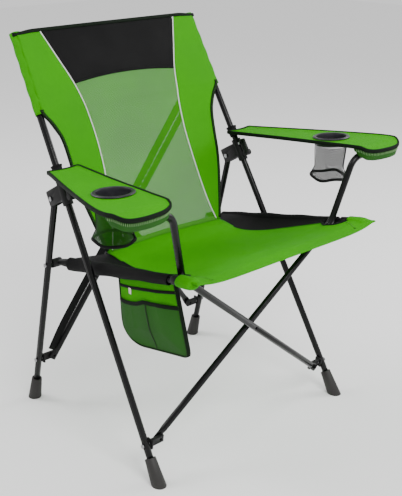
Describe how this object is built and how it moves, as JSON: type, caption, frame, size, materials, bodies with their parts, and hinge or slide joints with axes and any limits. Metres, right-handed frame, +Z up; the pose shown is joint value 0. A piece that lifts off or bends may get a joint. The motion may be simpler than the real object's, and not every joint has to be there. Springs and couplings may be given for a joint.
{
  "type": "folding camp chair",
  "caption": "Folding camp chair with a scissor tube frame, sling seat, mesh back, fabric armrests with cup holders and a side organizer pocket",
  "frame": {"origin": "centre of the bounding box on the floor, under the seat", "axes": "+Z up, the sitter faces -Y, +X is to the right of someone facing the chair"},
  "size_m": [0.8752, 0.6356, 0.9317],
  "materials": {
    "tube": "black powder coat, satin gloss",
    "hub_plastic": "moulded, fine matte grain",
    "foot_plastic": "moulded, matte",
    "rivet": "plain steel rivet",
    "green_fabric": "bright green woven polyester",
    "black_fabric": "black woven polyester",
    "mesh_fabric": "light green see-through mesh",
    "pouch_green": "dark green mesh",
    "pouch_grey": "grey mesh",
    "pocket_fabric": "dark green woven polyester",
    "strap": "black webbing",
    "ring_plastic": "moulded, satin",
    "zip_metal": "die-cast, worn bright"
  },
  "bodies": {
    "frame_left": {"front_leg_left": "tube", "front_foot_left": "foot_plastic", "post_cap_left": "hub_plastic", "back_side_left": "green_fabric", "back_side_right": "green_fabric", "back_head": "black_fabric", "back_mesh": "mesh_fabric"},
    "bracket_front_left": {"front_bracket_left": "hub_plastic", "front_bolt_left": "rivet"},
    "cross_front_right": {"front_cross_right": "tube"},
    "cross_front_left": {"front_cross_left": "tube"},
    "bracket_front_right": {"front_bracket_right": "hub_plastic"},
    "frame_right": {"front_leg_right": "tube", "front_foot_right": "foot_plastic", "post_cap_right": "hub_plastic", "front_bolt_right": "rivet"},
    "hub_left": {"hub_left": "hub_plastic", "hub_pin_left": "rivet", "lever_pin_left": "rivet", "arm_loop_left": "strap"},
    "lever_left": {"lock_lever_left": "hub_plastic"},
    "arm_left": {"armrest_left": "green_fabric", "cup_ring_left": "ring_plastic", "cup_pouch_left": "pouch_green"},
    "rear_leg_left": {"rear_leg_left": "tube", "rear_foot_left": "foot_plastic", "rail_pin_left": "rivet"},
    "rail_left": {"seat_rail_left": "tube", "rail_connector_left": "hub_plastic", "rail_stop_left": "hub_plastic", "seat_panel": "green_fabric", "seat_side_left": "black_fabric", "seat_side_right": "black_fabric", "side_pocket": "pocket_fabric"},
    "bracket_rear_left": {"rear_bracket_left": "hub_plastic", "rear_bolt_left": "rivet"},
    "hub_right": {"hub_right": "hub_plastic", "hub_pin_right": "rivet", "lever_pin_right": "rivet", "arm_loop_right": "strap"},
    "lever_right": {"lock_lever_right": "hub_plastic"},
    "arm_right": {"armrest_right": "green_fabric", "cup_ring_right": "ring_plastic", "cup_pouch_right": "pouch_grey"},
    "rear_leg_right": {"rear_leg_right": "tube", "rear_foot_right": "foot_plastic", "rail_pin_right": "rivet"},
    "rail_right": {"seat_rail_right": "tube", "rail_connector_right": "hub_plastic", "rail_stop_right": "hub_plastic"},
    "bracket_rear_right": {"rear_bracket_right": "hub_plastic", "rear_bolt_right": "rivet"},
    "cross_rear_right": {"rear_cross_right": "tube", "carry_strap": "strap"},
    "cross_rear_left": {"rear_cross_left": "tube"},
    "zip": {"zip_pull": "zip_metal"}
  },
  "joints": [
    {"name": "fold", "type": "hinge", "parent": "bracket_front_left", "child": "cross_front_right", "pos_m": [-0.25997, -0.17652, 0.08], "axis": [0, -0.9898, -0.1426], "range_deg": [0, 38], "deforming": ["back_side_left", "back_side_right", "back_head", "back_mesh", "seat_panel", "seat_side_left", "seat_side_right", "side_pocket", "carry_strap"]},
    {"name": "front_tilt_left", "type": "hinge", "parent": "frame_left", "child": "bracket_front_left", "pos_m": [-0.29997, -0.17652, 0.08], "axis": [-1, 0, 0], "range_deg": [0, 33]},
    {"name": "front_scissor", "type": "hinge", "parent": "cross_front_right", "child": "cross_front_left", "pos_m": [0, -0.20655, 0.2884], "axis": [0, 0.9898, 0.1426], "range_deg": [0, 76]},
    {"name": "front_swing_right", "type": "hinge", "parent": "cross_front_left", "child": "bracket_front_right", "pos_m": [0.25997, -0.17652, 0.08], "axis": [0, -0.9898, -0.1426], "range_deg": [0, 38]},
    {"name": "front_tilt_right", "type": "hinge", "parent": "bracket_front_right", "child": "frame_right", "pos_m": [0.29997, -0.17652, 0.08], "axis": [1, 0, 0], "range_deg": [0, 33]},
    {"name": "hub_slide_left", "type": "slide", "parent": "frame_left", "child": "hub_left", "axis": [-0.0329, -0.4912, -0.8704], "range_m": [0, 0.1248]},
    {"name": "lever_press_left", "type": "hinge", "parent": "hub_left", "child": "lever_left", "pos_m": [-0.27995, 0.10757, 0.61739], "axis": [-1, 0, 0], "range_deg": [0, 10], "stiffness_Nm_per_rad": 0.15, "springref_deg": -2.86},
    {"name": "arm_swing_left", "type": "hinge", "parent": "hub_left", "child": "arm_left", "pos_m": [-0.27848, 0.12234, 0.657], "axis": [-1, 0, 0], "range_deg": [0, 122], "deforming": ["armrest_left", "cup_pouch_left", "arm_loop_left"]},
    {"name": "rear_leg_swing_left", "type": "hinge", "parent": "hub_left", "child": "rear_leg_left", "pos_m": [-0.28041, 0.15443, 0.57488], "axis": [-1, 0, 0], "range_deg": [0, 39]},
    {"name": "rail_swing_left", "type": "hinge", "parent": "rear_leg_left", "child": "rail_left", "pos_m": [-0.27998, 0.19932, 0.398], "axis": [-1, 0, 0], "range_deg": [0, 51.08]},
    {"name": "rear_tilt_left", "type": "hinge", "parent": "rear_leg_left", "child": "bracket_rear_left", "pos_m": [-0.27929, 0.26988, 0.12], "axis": [1, 0, 0], "range_deg": [0, 11.48]},
    {"name": "hub_slide_right", "type": "slide", "parent": "frame_right", "child": "hub_right", "axis": [0.0329, -0.4912, -0.8704], "range_m": [0, 0.1248]},
    {"name": "lever_press_right", "type": "hinge", "parent": "hub_right", "child": "lever_right", "pos_m": [0.27995, 0.10757, 0.61739], "axis": [-1, 0, 0], "range_deg": [0, 10], "stiffness_Nm_per_rad": 0.15, "springref_deg": -2.86},
    {"name": "arm_swing_right", "type": "hinge", "parent": "hub_right", "child": "arm_right", "pos_m": [0.27848, 0.12234, 0.657], "axis": [-1, 0, 0], "range_deg": [0, 122], "deforming": ["armrest_right", "cup_pouch_right", "arm_loop_right"]},
    {"name": "rear_leg_swing_right", "type": "hinge", "parent": "hub_right", "child": "rear_leg_right", "pos_m": [0.28041, 0.15443, 0.57488], "axis": [-1, 0, 0], "range_deg": [0, 39]},
    {"name": "rail_swing_right", "type": "hinge", "parent": "rear_leg_right", "child": "rail_right", "pos_m": [0.27998, 0.19932, 0.398], "axis": [-1, 0, 0], "range_deg": [0, 51.08]},
    {"name": "rear_tilt_right", "type": "hinge", "parent": "rear_leg_right", "child": "bracket_rear_right", "pos_m": [0.27929, 0.26988, 0.12], "axis": [1, 0, 0], "range_deg": [0, 11.48]},
    {"name": "rear_swing", "type": "hinge", "parent": "bracket_rear_left", "child": "cross_rear_right", "pos_m": [-0.23929, 0.26988, 0.12], "axis": [0, -0.9988, -0.0492], "range_deg": [0, 27.99]},
    {"name": "rear_scissor", "type": "hinge", "parent": "cross_rear_right", "child": "cross_rear_left", "pos_m": [0, 0.25407, 0.44111], "axis": [0, 0.9988, 0.0492], "range_deg": [0, 55.98]},
    {"name": "zip_travel", "type": "slide", "parent": "rail_left", "child": "zip", "axis": [-0.0457, -0.9782, 0.2026], "range_m": [0, 0.11]}
  ],
  "couplings": [
    {"joint": "front_tilt_left", "follows": "fold", "ratio": 0.86842},
    {"joint": "front_scissor", "follows": "fold", "ratio": 2},
    {"joint": "front_swing_right", "follows": "fold", "ratio": 1},
    {"joint": "front_tilt_right", "follows": "fold", "ratio": 0.86842},
    {"joint": "hub_slide_left", "follows": "fold", "m_per_rad": 0.18817},
    {"joint": "arm_swing_left", "follows": "fold", "ratio": 3.2105},
    {"joint": "rear_leg_swing_left", "follows": "fold", "ratio": 1.0263},
    {"joint": "rail_swing_left", "follows": "fold", "ratio": 1.3442},
    {"joint": "rear_tilt_left", "follows": "fold", "ratio": 0.30211},
    {"joint": "hub_slide_right", "follows": "fold", "m_per_rad": 0.18817},
    {"joint": "arm_swing_right", "follows": "fold", "ratio": 3.2105},
    {"joint": "rear_leg_swing_right", "follows": "fold", "ratio": 1.0263},
    {"joint": "rail_swing_right", "follows": "fold", "ratio": 1.3442},
    {"joint": "rear_tilt_right", "follows": "fold", "ratio": 0.30211},
    {"joint": "rear_swing", "follows": "fold", "ratio": 0.73658},
    {"joint": "rear_scissor", "follows": "fold", "ratio": 1.4732}
  ]
}
